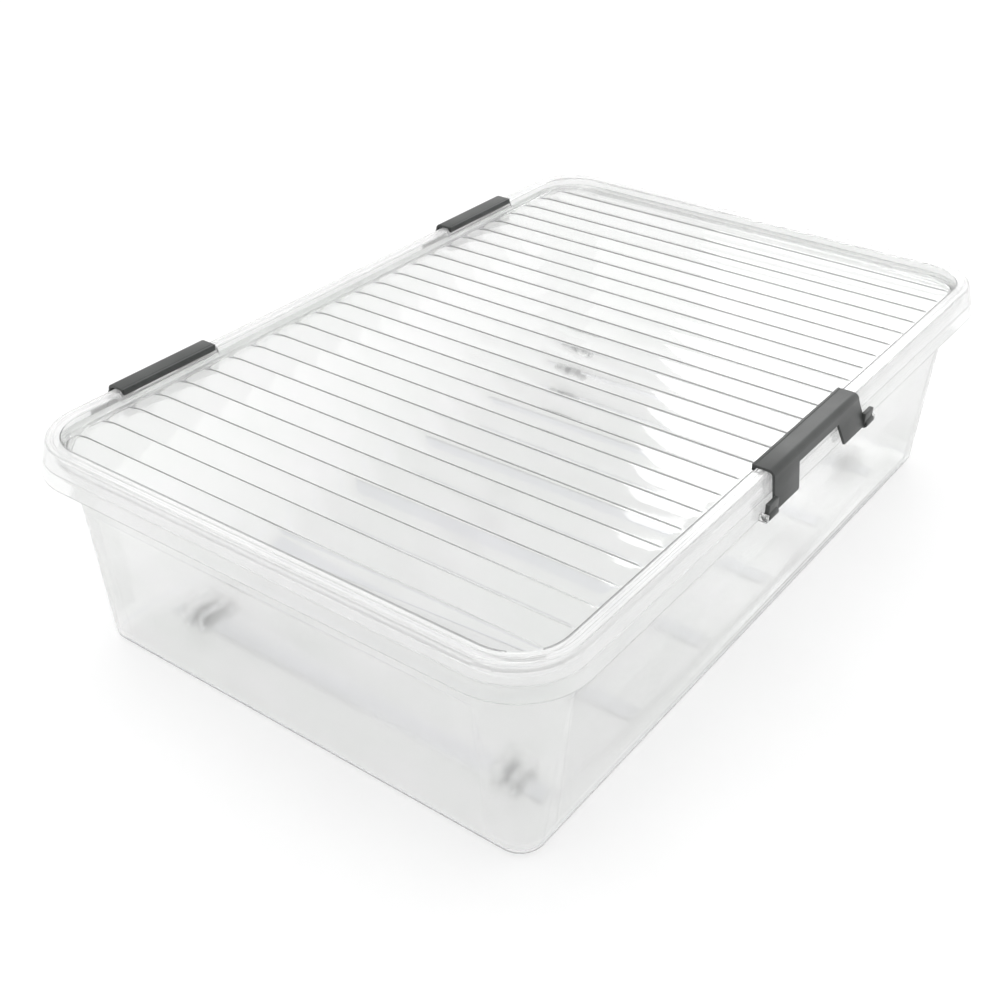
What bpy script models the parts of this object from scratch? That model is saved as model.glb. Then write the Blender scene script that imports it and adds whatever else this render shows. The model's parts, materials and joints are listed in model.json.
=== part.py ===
"""Wheeled under-bed storage box: clear tub and lid, three clips, four rollers.

Metres, +Z up. X runs along the box, the single long clip is on the -Y side,
and the origin is on the floor under the middle of the box.
"""

import math

import bmesh
import bpy
from mathutils import Matrix, Vector

# Lid, measured over its top rim
LENGTH = 0.780
WIDTH = 0.512
CORNER_R = 0.055
RIM_TOP = 0.211
RIM_BAND = 0.012
PANEL_TOP = 0.201
PANEL_INSET = 0.017
LID_SKIN = 0.002
LID_FLARE = 0.004
EDGE_R = 0.002

# Grooves that run across the lid panel; the cutting bars are as far above it as below
GROOVE_COUNT = 25
GROOVE_PITCH = 0.0289
GROOVE_WIDTH = 0.0024
GROOVE_DEPTH = 0.0008
GROOVE_LENGTH = 0.470

# Tub
SEAM_Z = 0.195
TUB_FLARE = 0.007
SKIRT_BOTTOM = 0.182
UPSTAND_TOP = 0.2015
UPSTAND_INSET = 0.006
FLANGE_UNDER = 0.1925
WALL_TOP_INSET = 0.0125
WALL_TOP_R = 0.0525
THROAT_LEAN = 0.001
FOOT_INSET_X = 0.0315
FOOT_INSET_Y = 0.027
FOOT_R = 0.021
FOOT_EDGE_R = 0.008
TUB_BOTTOM = 0.004
TUB_SKIN = 0.002
FLOOR_SKIN = 0.0025
FLOOR_RIB_PITCH = 0.117
FLOOR_RIB_COUNT = 6
FLOOR_RIB_WIDTH = 0.020
FLOOR_RIB_HEIGHT = 0.0012
FLOOR_RIB_LENGTH = 0.408

# Clips: top length, window half-width and middle along X
FRONT_CLIP = {"length": 0.155, "window": 0.036, "x": -0.003}
REAR_CLIP = {"length": 0.106, "window": 0.022, "left_x": -0.237, "right_x": 0.211}
CLIP_TOP = 0.2146
CLIP_SKIN = 0.0025
CLIP_BEND_R = 0.006
CLIP_OUTER_TOP = 0.006
CLIP_OUTER_FOOT = 0.0125
CLIP_LIP_INSET = 0.0145
CLIP_LIP_DROP = 0.0056
CLIP_FOOT = 0.184
CLIP_SPREAD = 0.0065
WINDOW_TOP = 0.204
WINDOW_SPREAD = 0.0065
WINDOW_CUT_OUT = 0.010
WINDOW_CUT_IN = 0.018
WINDOW_CUT_BELOW = 0.006

# Clip hinge: the pins are moulded on lugs of the tub rim
PIN_OUT = 0.011
PIN_Z = 0.1848
PIN_R = 0.0016
PIN_LENGTH = 0.010
BORE_R = 0.0020
KNUCKLE_R = 0.0037
TAB_IN = 0.002
TAB_OUT = 0.0118
TAB_TOP = 0.1959
TAB_ROOT = 0.004
TAB_OUTER = -0.0018
TAB_INNER = 0.0022
LUG_THICK = 0.004
LUG_HALF = 0.003
LUG_GAP = 0.0005
LUG_REACH = 0.0027
BORE_END_GAP = 0.0006

# Catch pockets in the lid rim, which the clip lips swing out of
CATCH_DEPTH = 0.0045
CATCH_REACH = 0.0075
CATCH_SLACK = 0.002
CATCH_INNER = 0.004

# Rollers and axles
ROLLER_R = 0.010
ROLLER_WIDTH = 0.010
ROLLER_X = 0.293
ROLLER_Y = 0.170
ROLLER_BORE_R = 0.0024
AXLE_R = 0.002
AXLE_LENGTH = 0.022
POCKET_HALF_X = 0.0125
POCKET_HALF_Y = 0.006
POCKET_ROOF = 0.022
HOUSING_SKIN = 0.0022
HOUSING_HALF_Y = 0.014
ROLLER_CHAMFER = 0.001
ROLLER_GROOVE_HALF = 0.0015
ROLLER_GROOVE = 0.0005
HUB_R = 0.0045
WEB_R = 0.0075
WEB_DEPTH = 0.002
TURN_STEPS = 28

# Clearance between touching pieces, and how far tools overlap what they join or cut
GAP = 0.0003
BURY = 0.001
OVERCUT = 0.002
CORNER_STEPS = 8


# Scene tools
def clear_scene():
    for obj in list(bpy.data.objects):
        bpy.data.objects.remove(obj, do_unlink=True)


def new_collection(name):
    collection = bpy.data.collections.new(name)
    bpy.context.scene.collection.children.link(collection)
    return collection


def plastic(name, colour, roughness, alpha=1.0, metallic=0.0):
    material = bpy.data.materials.new(name)
    material.use_nodes = True
    shader = material.node_tree.nodes["Principled BSDF"]
    shader.inputs["Base Color"].default_value = (*colour, 1.0)
    shader.inputs["Roughness"].default_value = roughness
    shader.inputs["Metallic"].default_value = metallic
    shader.inputs["Alpha"].default_value = alpha
    return material


def object_from(bm, name, collection, material=None):
    bmesh.ops.recalc_face_normals(bm, faces=bm.faces)
    mesh = bpy.data.meshes.new(name)
    bm.to_mesh(mesh)
    bm.free()
    if material:
        mesh.materials.append(material)
    obj = bpy.data.objects.new(name, mesh)
    collection.objects.link(obj)
    return obj


def hide_tool(obj):
    obj.hide_render = True
    obj.display_type = "WIRE"
    return obj


def boolean(obj, tool, operation):
    modifier = obj.modifiers.new(operation.title() + " " + tool.name, "BOOLEAN")
    modifier.operation = operation
    modifier.solver = "EXACT"
    modifier.object = tool


def add_box(bm, low, high):
    size = Vector(high) - Vector(low)
    middle = (Vector(high) + Vector(low)) / 2
    matrix = Matrix.Translation(middle) @ Matrix.Diagonal((*size, 1.0))
    bmesh.ops.create_cube(bm, size=1.0, matrix=matrix)


def add_rod(bm, radius, start, end, axis, sides=16):
    """A cylinder between two points that lie along X or Y."""
    turn = Matrix.Rotation(math.pi / 2, 4, "Y" if axis == "X" else "X")
    matrix = Matrix.Translation((Vector(start) + Vector(end)) / 2) @ turn
    bmesh.ops.create_cone(
        bm, cap_ends=True, segments=sides, radius1=radius, radius2=radius,
        depth=(Vector(end) - Vector(start)).length, matrix=matrix)


def smooth(obj, angle=math.radians(35)):
    obj.data.shade_smooth()
    obj.data.set_sharp_from_angle(angle=angle)


# Rounded lofts
def rounded_ring(bm, inset_x, inset_y, radius, z):
    """One loop of vertices round a rounded rectangle, inset from the lid rim."""
    half_x = LENGTH / 2 - inset_x - radius
    half_y = WIDTH / 2 - inset_y - radius
    ring = []
    for quarter, (sx, sy) in enumerate(((1, 1), (-1, 1), (-1, -1), (1, -1))):
        for step in range(CORNER_STEPS + 1):
            angle = math.pi / 2 * (quarter + step / CORNER_STEPS)
            x = sx * half_x + radius * math.cos(angle)
            y = sy * half_y + radius * math.sin(angle)
            ring.append(bm.verts.new((x, y, z)))
    return ring


def loft(sections):
    """A closed body: the rings joined in order, with both ends filled."""
    bm = bmesh.new()
    rings = [rounded_ring(bm, *section) for section in sections]
    for lower, upper in zip(rings, rings[1:]):
        for i in range(len(lower)):
            j = (i + 1) % len(lower)
            bm.faces.new((lower[i], lower[j], upper[j], upper[i]))
    bm.faces.new(rings[0])
    bm.faces.new(rings[-1])
    return bm


def rim_section(inset, z):
    """A ring parallel to the lid's top rim."""
    return (inset, inset, CORNER_R - inset, z)


def wall_section(z, skin=0.0, round_in=0.0):
    """A ring of the drafted wall; skin moves it in by the wall's thickness."""
    drop = (SKIRT_BOTTOM - z) / (SKIRT_BOTTOM - TUB_BOTTOM)
    inset_x = WALL_TOP_INSET + (FOOT_INSET_X - WALL_TOP_INSET) * drop
    inset_y = WALL_TOP_INSET + (FOOT_INSET_Y - WALL_TOP_INSET) * drop
    radius = WALL_TOP_R + (FOOT_R - WALL_TOP_R) * drop
    inward = skin + round_in
    return (inset_x + inward, inset_y + inward, radius - inward, z)


def throat_section(inward, tighter):
    """A ring where the wall meets the rim's flange; tighter reduces its corners."""
    inset = WALL_TOP_INSET + inward
    return (inset, inset, WALL_TOP_R - tighter, FLANGE_UNDER)


def foot_sections(floor_z, edge_r, skin):
    """The rounded edge between the floor and the wall, floor first."""
    sections = []
    steps = 4
    for step in range(steps + 1):
        angle = math.pi / 2 * (1 - step / steps)
        inset_x, inset_y, radius, _ = wall_section(floor_z + edge_r, skin)
        inward = edge_r * (1 - math.cos(angle))
        z = floor_z + edge_r - edge_r * math.sin(angle)
        sections.append((inset_x + inward, inset_y + inward, radius - inward, z))
    return sections


# The tub
def clip_places():
    """Name, middle along X, side (-1 front, 1 rear) and sizes of each clip."""
    return (
        ("front_clip", FRONT_CLIP["x"], -1, FRONT_CLIP),
        ("rear_left_clip", REAR_CLIP["left_x"], 1, REAR_CLIP),
        ("rear_right_clip", REAR_CLIP["right_x"], 1, REAR_CLIP),
    )


def tab_end(sizes):
    """How far the clip's tabs reach from its middle, along X."""
    return sizes["length"] / 2 + CLIP_SPREAD + TAB_OUT


def tub_body():
    outer_lip = TUB_FLARE - LID_FLARE
    sections = foot_sections(TUB_BOTTOM, FOOT_EDGE_R, 0.0)
    sections += [
        wall_section(SKIRT_BOTTOM),
        throat_section(-THROAT_LEAN, THROAT_LEAN * 2),
        rim_section(-LID_FLARE + TUB_SKIN, FLANGE_UNDER),
        rim_section(-TUB_FLARE + TUB_SKIN, SKIRT_BOTTOM),
        rim_section(-TUB_FLARE, SKIRT_BOTTOM),
        rim_section(-TUB_FLARE + outer_lip, SEAM_Z - GAP),
        rim_section(UPSTAND_INSET, SEAM_Z - GAP),
        rim_section(UPSTAND_INSET, UPSTAND_TOP),
        rim_section(UPSTAND_INSET + TUB_SKIN, UPSTAND_TOP),
        throat_section(TUB_SKIN - THROAT_LEAN, TUB_SKIN * 2),
        wall_section(SKIRT_BOTTOM, TUB_SKIN),
    ]
    inner_foot = foot_sections(TUB_BOTTOM + FLOOR_SKIN, FOOT_EDGE_R - TUB_SKIN, TUB_SKIN)
    sections += list(reversed(inner_foot))
    return loft(sections)


def roller_places():
    for x in (-ROLLER_X, ROLLER_X):
        for y in (-ROLLER_Y, ROLLER_Y):
            yield x, y


def roller_housings(tools):
    """Raised housings in the floor, their pockets and the axle slots."""
    housings = bmesh.new()
    pockets = bmesh.new()
    slots = bmesh.new()
    slot_half = AXLE_R + GAP
    slot_reach = AXLE_LENGTH / 2 + GAP
    below = TUB_BOTTOM - OVERCUT
    for x, y in roller_places():
        half_x = POCKET_HALF_X + HOUSING_SKIN
        add_box(housings, (x - half_x, y - HOUSING_HALF_Y, TUB_BOTTOM + BURY),
                (x + half_x, y + HOUSING_HALF_Y, POCKET_ROOF + HOUSING_SKIN))
        add_box(pockets, (x - POCKET_HALF_X, y - POCKET_HALF_Y, below),
                (x + POCKET_HALF_X, y + POCKET_HALF_Y, POCKET_ROOF))
        add_box(slots, (x - slot_half, y - slot_reach, below),
                (x + slot_half, y + slot_reach, ROLLER_R + slot_half))
    return (
        hide_tool(object_from(housings, "tool_housings", tools)),
        hide_tool(object_from(pockets, "tool_pockets", tools)),
        hide_tool(object_from(slots, "tool_slots", tools)),
    )


def floor_ribs(tools):
    """Low, wide ribs across the floor, which stiffen it."""
    ribs = bmesh.new()
    top = TUB_BOTTOM + FLOOR_SKIN + FLOOR_RIB_HEIGHT
    for index in range(FLOOR_RIB_COUNT):
        x = (index - (FLOOR_RIB_COUNT - 1) / 2) * FLOOR_RIB_PITCH
        add_box(ribs, (x - FLOOR_RIB_WIDTH / 2, -FLOOR_RIB_LENGTH / 2, TUB_BOTTOM + BURY),
                (x + FLOOR_RIB_WIDTH / 2, FLOOR_RIB_LENGTH / 2, top))
    return hide_tool(object_from(ribs, "tool_floor_ribs", tools))


def hinge_lugs(tools):
    """Lugs on the tub's skirt and the pins that they carry."""
    lugs = bmesh.new()
    pins = bmesh.new()
    skirt_y = WIDTH / 2 + TUB_FLARE - TUB_SKIN / 2
    for _, x, side, sizes in clip_places():
        pin_y = WIDTH / 2 + PIN_OUT
        for end in (-1, 1):
            near = x + end * (tab_end(sizes) + LUG_GAP)
            far = near + end * LUG_THICK
            ys = sorted((side * skirt_y, side * (pin_y + LUG_REACH)))
            add_box(lugs, (min(near, far), ys[0], PIN_Z - LUG_HALF),
                    (max(near, far), ys[1], PIN_Z + LUG_HALF))
            tip = near - end * PIN_LENGTH
            root = near + end * LUG_THICK / 2
            add_rod(pins, PIN_R, (min(tip, root), side * pin_y, PIN_Z),
                    (max(tip, root), side * pin_y, PIN_Z), "X")
    return (
        hide_tool(object_from(lugs, "tool_lugs", tools)),
        hide_tool(object_from(pins, "tool_pins", tools)),
    )


def make_tub(parts, tools, material):
    tub = object_from(tub_body(), "tub", parts, material)
    housings, pockets, slots = roller_housings(tools)
    boolean(tub, floor_ribs(tools), "UNION")
    boolean(tub, housings, "UNION")
    boolean(tub, pockets, "DIFFERENCE")
    boolean(tub, slots, "DIFFERENCE")
    lugs, pins = hinge_lugs(tools)
    boolean(tub, lugs, "UNION")
    boolean(tub, pins, "UNION")
    return tub


# The lid
def lid_body():
    under = RIM_TOP - LID_SKIN
    panel_under = PANEL_TOP - LID_SKIN
    round_step = EDGE_R * (1 - math.cos(math.pi / 4))
    sections = [
        rim_section(PANEL_INSET, panel_under),
        rim_section(RIM_BAND - LID_SKIN, under),
        rim_section(EDGE_R, under),
        rim_section(-LID_FLARE + LID_SKIN, SEAM_Z),
        rim_section(-LID_FLARE, SEAM_Z),
        rim_section(0.0, RIM_TOP - EDGE_R),
        rim_section(round_step, RIM_TOP - round_step),
        rim_section(EDGE_R, RIM_TOP),
        rim_section(RIM_BAND, RIM_TOP),
        rim_section(PANEL_INSET, PANEL_TOP),
    ]
    return loft(sections)


def catch_pockets(tools):
    """Blocks under the rim band and the pockets cut down into them."""
    blocks = bmesh.new()
    pockets = bmesh.new()
    band_y = WIDTH / 2 - RIM_BAND
    floor_z = RIM_TOP - CATCH_DEPTH
    for _, x, side, sizes in clip_places():
        half = sizes["length"] / 2 + CATCH_SLACK
        outer = band_y + CATCH_REACH - CATCH_SLACK
        inner = band_y - CATCH_INNER
        ys = sorted((side * inner, side * (outer + LID_SKIN)))
        add_box(blocks, (x - half - LID_SKIN, ys[0], floor_z - LID_SKIN),
                (x + half + LID_SKIN, ys[1], RIM_TOP - LID_SKIN / 2))
        ys = sorted((side * (inner - CATCH_INNER), side * outer))
        add_box(pockets, (x - half, ys[0], floor_z), (x + half, ys[1], RIM_TOP + OVERCUT))
    return (
        hide_tool(object_from(blocks, "tool_catch_blocks", tools)),
        hide_tool(object_from(pockets, "tool_catch_pockets", tools)),
    )


def panel_grooves(tools):
    """Three-sided bars laid across the panel, point down."""
    bm = bmesh.new()
    for i in range(GROOVE_COUNT):
        x = (i - (GROOVE_COUNT - 1) / 2) * GROOVE_PITCH
        corners = ((x - GROOVE_WIDTH, PANEL_TOP + GROOVE_DEPTH), (x, PANEL_TOP - GROOVE_DEPTH),
                   (x + GROOVE_WIDTH, PANEL_TOP + GROOVE_DEPTH))
        ends = []
        for y in (-GROOVE_LENGTH / 2, GROOVE_LENGTH / 2):
            ends.append([bm.verts.new((cx, y, cz)) for cx, cz in corners])
        bm.faces.new(ends[0])
        bm.faces.new(ends[1])
        for this in range(3):
            after = (this + 1) % 3
            bm.faces.new((ends[0][this], ends[0][after], ends[1][after], ends[1][this]))
    return hide_tool(object_from(bm, "tool_grooves", tools))


def make_lid(parts, tools, material):
    lid = object_from(lid_body(), "lid", parts, material)
    blocks, pockets = catch_pockets(tools)
    boolean(lid, blocks, "UNION")
    boolean(lid, pockets, "DIFFERENCE")
    boolean(lid, panel_grooves(tools), "DIFFERENCE")
    return lid


# The clips
def clip_profile():
    """Outer skin across the clip: (inward, up) from the pin, lip first."""
    top = CLIP_TOP - PIN_Z
    lip_in = PIN_OUT + CLIP_LIP_INSET
    outer = PIN_OUT - CLIP_OUTER_TOP
    points = [(lip_in, top - CLIP_LIP_DROP), (lip_in, top)]
    steps = 5
    for step in range(steps + 1):
        angle = math.pi / 2 * step / steps
        inward = outer + CLIP_BEND_R * (1 - math.sin(angle))
        up = top - CLIP_BEND_R * (1 - math.cos(angle))
        points.append((inward, up))
    points.append((PIN_OUT - CLIP_OUTER_FOOT, CLIP_FOOT - PIN_Z))
    return points


def clip_shell(name, sizes, parts, material):
    """An open sheet along X that Solidify gives its thickness."""
    bm = bmesh.new()
    points = clip_profile()
    bend_end = points[-2][1]
    foot = points[-1][1]
    rows = []
    for inward, up in points:
        fall = max(0.0, (bend_end - up) / (bend_end - foot)) if inward < PIN_OUT else 0.0
        half = sizes["length"] / 2 + CLIP_SPREAD * fall
        rows.append([bm.verts.new((x, inward, up)) for x in (-half, half)])
    for first, second in zip(rows, rows[1:]):
        bm.faces.new((first[0], first[1], second[1], second[0]))
    clip = object_from(bm, name, parts, material)
    solidify = clip.modifiers.new("Skin", "SOLIDIFY")
    solidify.thickness = CLIP_SKIN
    solidify.offset = -1.0
    solidify.use_even_offset = True
    return clip


def window_tool(name, sizes, tools):
    """A tapered block that cuts the finger window between the clip's legs."""
    bm = bmesh.new()
    top = WINDOW_TOP - PIN_Z
    foot = CLIP_FOOT - PIN_Z
    slope = WINDOW_SPREAD / (top - foot)
    rings = []
    for up in (top, foot - WINDOW_CUT_BELOW):
        half = sizes["window"] + slope * (top - up)
        corners = ((-half, -WINDOW_CUT_OUT), (half, -WINDOW_CUT_OUT),
                   (half, WINDOW_CUT_IN), (-half, WINDOW_CUT_IN))
        rings.append([bm.verts.new((x, y, up)) for x, y in corners])
    for i in range(4):
        j = (i + 1) % 4
        bm.faces.new((rings[0][i], rings[0][j], rings[1][j], rings[1][i]))
    bm.faces.new(rings[0])
    bm.faces.new(rings[1])
    return hide_tool(object_from(bm, "tool_window_" + name, tools))


def knuckle_tools(name, sizes, tools):
    """Barrels round the pin, the tabs above them, and the pin bores."""
    barrels = bmesh.new()
    tabs = bmesh.new()
    bores = bmesh.new()
    edge = sizes["length"] / 2 + CLIP_SPREAD
    bore_start = tab_end(sizes) + LUG_GAP - PIN_LENGTH - BORE_END_GAP
    for end in (-1, 1):
        xs = sorted((end * (edge - TAB_IN), end * (edge + TAB_OUT)))
        add_rod(barrels, KNUCKLE_R, (xs[0], 0, 0), (xs[1], 0, 0), "X", 20)
        xs = sorted((end * (edge - TAB_ROOT), end * (edge + TAB_OUT)))
        add_box(tabs, (xs[0], TAB_OUTER, 0.0), (xs[1], TAB_INNER, TAB_TOP - PIN_Z))
        xs = sorted((end * bore_start, end * (edge + TAB_OUT + OVERCUT)))
        add_rod(bores, BORE_R, (xs[0], 0, 0), (xs[1], 0, 0), "X")
    return (
        hide_tool(object_from(barrels, "tool_barrels_" + name, tools)),
        hide_tool(object_from(tabs, "tool_tabs_" + name, tools)),
        hide_tool(object_from(bores, "tool_bores_" + name, tools)),
    )


def make_clip(name, x, side, sizes, parts, tools, material):
    clip = clip_shell(name, sizes, parts, material)
    window = window_tool(name, sizes, tools)
    barrels, tabs, bores = knuckle_tools(name, sizes, tools)
    boolean(clip, window, "DIFFERENCE")
    boolean(clip, barrels, "UNION")
    boolean(clip, tabs, "UNION")
    boolean(clip, bores, "DIFFERENCE")
    for obj in (clip, window, barrels, tabs, bores):
        obj.location = (x, side * (WIDTH / 2 + PIN_OUT), PIN_Z)
        obj.rotation_euler = (0, 0, 0 if side < 0 else math.pi)
    return clip


# Rollers and axles
def make_roller(name, x, y, parts, material):
    half = ROLLER_WIDTH / 2
    web = half - WEB_DEPTH
    profile = [
        (ROLLER_BORE_R, half), (HUB_R, half), (HUB_R, web), (WEB_R, web), (WEB_R, half),
        (ROLLER_R - ROLLER_CHAMFER, half), (ROLLER_R, half - ROLLER_CHAMFER),
        (ROLLER_R, ROLLER_GROOVE_HALF),
        (ROLLER_R - ROLLER_GROOVE, ROLLER_GROOVE_HALF - ROLLER_GROOVE),
    ]
    profile += [(r, -z) for r, z in reversed(profile)]
    bm = bmesh.new()
    ring = [bm.verts.new((r, 0, z)) for r, z in profile]
    for first, second in zip(ring, ring[1:] + ring[:1]):
        bm.edges.new((first, second))
    mesh = bpy.data.meshes.new(name)
    bm.to_mesh(mesh)
    bm.free()
    mesh.materials.append(material)
    roller = bpy.data.objects.new(name, mesh)
    parts.objects.link(roller)
    screw = roller.modifiers.new("Turn", "SCREW")
    screw.steps = TURN_STEPS
    screw.render_steps = TURN_STEPS
    screw.use_merge_vertices = True
    screw.merge_threshold = 0.00001
    roller.location = (x, y, ROLLER_R)
    roller.rotation_euler = (math.pi / 2, 0, 0)
    return roller


def make_axle(name, x, y, parts, material):
    bm = bmesh.new()
    half = AXLE_LENGTH / 2
    add_rod(bm, AXLE_R, (0, -half, 0), (0, half, 0), "Y")
    axle = object_from(bm, name, parts, material)
    axle.location = (x, y, ROLLER_R)
    smooth(axle)
    return axle


# Main
def main():
    clear_scene()
    parts = new_collection("under_bed_box")
    tools = new_collection("shaping_tools")
    clear_pp = plastic("clear_polypropylene", (0.86, 0.88, 0.88), 0.22, alpha=0.35)
    grey = plastic("dark_grey_plastic", (0.10, 0.105, 0.105), 0.38)
    roller_grey = plastic("roller_plastic", (0.035, 0.036, 0.04), 0.45)
    steel = plastic("axle_steel", (0.62, 0.62, 0.60), 0.30, metallic=1.0)

    make_tub(parts, tools, clear_pp)
    make_lid(parts, tools, clear_pp)
    for name, x, side, sizes in clip_places():
        make_clip(name, x, side, sizes, parts, tools, grey)
    for x, y in roller_places():
        place = ("left" if x < 0 else "right") + ("_front" if y < 0 else "_rear")
        make_roller("roller_" + place, x, y, parts, roller_grey)
        make_axle("axle_" + place, x, y, parts, steel)
    bpy.context.view_layer.update()


main()
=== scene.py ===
import json
import math

import bmesh
import bpy
from mathutils import Matrix, Vector


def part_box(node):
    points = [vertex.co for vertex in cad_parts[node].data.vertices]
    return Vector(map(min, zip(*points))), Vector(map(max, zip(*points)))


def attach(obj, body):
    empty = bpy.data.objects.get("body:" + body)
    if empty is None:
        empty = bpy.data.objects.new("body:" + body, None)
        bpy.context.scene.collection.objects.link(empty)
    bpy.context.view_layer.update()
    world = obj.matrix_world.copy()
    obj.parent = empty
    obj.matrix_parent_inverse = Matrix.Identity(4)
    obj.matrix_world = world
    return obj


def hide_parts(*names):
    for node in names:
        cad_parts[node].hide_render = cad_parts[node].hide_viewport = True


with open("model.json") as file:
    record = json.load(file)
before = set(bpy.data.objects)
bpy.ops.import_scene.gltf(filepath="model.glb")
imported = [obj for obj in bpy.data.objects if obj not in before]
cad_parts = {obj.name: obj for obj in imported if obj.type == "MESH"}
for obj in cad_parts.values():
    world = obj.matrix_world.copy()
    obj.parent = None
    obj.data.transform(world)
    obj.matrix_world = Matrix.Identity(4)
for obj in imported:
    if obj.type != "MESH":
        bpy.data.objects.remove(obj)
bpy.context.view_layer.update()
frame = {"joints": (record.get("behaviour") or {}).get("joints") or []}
lidLow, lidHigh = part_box("lid")
tubLow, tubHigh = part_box("tub")

# The rim's outline, which lid and tub share: metres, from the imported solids
rim = {
    "flare": 0.004,         # the lid's skirt leans out by this much
    "corner": 0.055,        # radius of the lid's top outline
    "cornerSteps": 28,      # edges in a quarter turn
}
halfLength = lidHigh.x - rim["flare"]
halfWidth = lidHigh.y - rim["flare"]
coreX = halfLength - rim["corner"]
coreY = halfWidth - rim["corner"]

# Each clip's length at the top, and half the length of its window there
clipSizes = {
    "front_clip": (0.155, 0.036),
    "rear_left_clip": (0.106, 0.022),
    "rear_right_clip": (0.106, 0.022),
}
rollerPlaces = [side + "_" + end for side in ("left", "right") for end in ("front", "rear")]


# sRGB hex to the linear numbers that shader sockets take
def linear(hexText):
    parts = [int(hexText[start:start + 2], 16) / 255 for start in (0, 2, 4)]
    return (*[part / 12.92 if part <= 0.04045 else ((part + 0.055) / 1.055) ** 2.4 for part in parts], 1.0)


# One node with its settings, plain values and incoming links
def addNode(tree, kind, settings=None, values=None, links=None):
    node = tree.nodes.new(kind)
    for key, value in (settings or {}).items():
        setattr(node, key, value)
    for key, value in (values or {}).items():
        node.inputs[key].default_value = value
    for key, socket in (links or {}).items():
        tree.links.new(socket, node.inputs[key])
    return node


# An empty material, its tree and output, and the place on the piece that patterns read
def newMaterial(name):
    material = bpy.data.materials.new(name)
    material.use_nodes = True
    tree = material.node_tree
    tree.nodes.clear()
    output = addNode(tree, "ShaderNodeOutputMaterial")
    place = addNode(tree, "ShaderNodeTexCoord")
    return material, tree, output, place.outputs["Object"]


# Two colours blended by a factor socket, as a ramp with two stops
def blendColours(tree, factor, low, high, lowStop=0.35, highStop=0.65):
    ramp = addNode(tree, "ShaderNodeValToRGB", links={"Fac": factor})
    ramp.color_ramp.elements[0].position = lowStop
    ramp.color_ramp.elements[0].color = linear(low)
    ramp.color_ramp.elements[1].position = highStop
    ramp.color_ramp.elements[1].color = linear(high)
    return ramp.outputs["Color"]


# A 0 to 1 pattern stretched to the range low to high
def spread(tree, factor, low, high):
    node = addNode(tree, "ShaderNodeMapRange", values={"To Min": low, "To Max": high},
                   links={"Value": factor})
    return node.outputs["Result"]


# Noise whose blobs are about so many millimetres across
def noiseOf(tree, place, millimetres, detail=2.0, stretch=(1, 1, 1)):
    mapping = addNode(tree, "ShaderNodeMapping", values={"Scale": stretch}, links={"Vector": place})
    return addNode(tree, "ShaderNodeTexNoise", values={"Scale": 1000 / millimetres, "Detail": detail},
                   links={"Vector": mapping.outputs["Vector"]}).outputs["Fac"]


def meshFrom(bm, name, material, body, nodes, sharpAngle=32):
    mesh = bpy.data.meshes.new(name)
    bm.to_mesh(mesh)
    bm.free()
    mesh.shade_smooth()
    mesh.set_sharp_from_angle(angle=math.radians(sharpAngle))
    mesh.materials.append(material)
    piece = bpy.data.objects.new(name, mesh)
    bpy.context.scene.collection.objects.link(piece)
    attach(piece, body)
    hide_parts(*nodes)
    return piece


# Edges whose two faces meet at more than the angle, taken from a choice of edges
def sharpEdges(edges, degrees):
    limit = math.radians(degrees)
    return [edge for edge in edges if len(edge.link_faces) == 2 and edge.calc_face_angle(0) > limit]


def roundEdges(bm, edges, width, segments=3):
    bmesh.ops.bevel(bm, geom=edges, offset=width, segments=segments, profile=0.5,
                    affect="EDGES", material=-1, clamp_overlap=True)


# A plane's cut through some faces, with their edges and corners
def cutAcross(bm, geometry, point, normal):
    bmesh.ops.bisect_plane(bm, geom=geometry, plane_co=point, plane_no=normal, dist=1e-7)


def cutAll(bm, point, normal):
    cutAcross(bm, bm.faces[:] + bm.edges[:] + bm.verts[:], point, normal)


# The faces that a test picks by their centres, with their edges and corners
def geometryOf(bm, test):
    faces = [face for face in bm.faces if test(face.calc_center_median())]
    edges = {edge for face in faces for edge in face.edges}
    verts = {vert for face in faces for vert in face.verts}
    return faces + list(edges) + list(verts)


# The number, held between minus and plus a limit
def clamp(number, limit):
    return max(-limit, min(limit, number))


# How far a point lies past the rim's outline along X or Y, and less than 0 inside it
def pastRim(point):
    return max(abs(point.x) - halfLength, abs(point.y) - halfWidth)


# A rounded rectangle of edges: a circle whose quarters are pushed apart
def addRing(bm, halfX, halfY, radius, height):
    steps = 4 * rim["cornerSteps"]
    turn = Matrix.Rotation(math.pi / steps, 4, "Z")
    made = bmesh.ops.create_circle(bm, segments=steps, radius=radius / math.cos(math.pi / steps),
                                   matrix=turn)["verts"]
    for vert in made:
        vert.co.x += math.copysign(halfX - radius, vert.co.x)
        vert.co.y += math.copysign(halfY - radius, vert.co.y)
        vert.co.z = height
    return list({edge for vert in made for edge in vert.link_edges})


def addBlock(bm, low, high, roundBy=0.0, segments=3):
    size = Vector(high) - Vector(low)
    middle = (Vector(high) + Vector(low)) / 2
    matrix = Matrix.Translation(middle) @ Matrix.Diagonal((*size, 1.0))
    verts = bmesh.ops.create_cube(bm, size=1.0, matrix=matrix)["verts"]
    if roundBy:
        roundEdges(bm, list({edge for vert in verts for edge in vert.link_edges}), roundBy, segments)


def addRod(bm, radius, start, end, axis, sides=32, roundBy=0.0):
    turn = Matrix.Rotation(math.pi / 2, 4, "Y" if axis == "X" else "X")
    matrix = Matrix.Translation((Vector(start) + Vector(end)) / 2) @ turn
    verts = bmesh.ops.create_cone(bm, cap_ends=True, segments=sides, radius1=radius,
                                  radius2=radius, depth=(Vector(end) - Vector(start)).length,
                                  matrix=matrix)["verts"]
    if roundBy:
        roundEdges(bm, sharpEdges({edge for vert in verts for edge in vert.link_edges}, 60), roundBy, 2)


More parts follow.
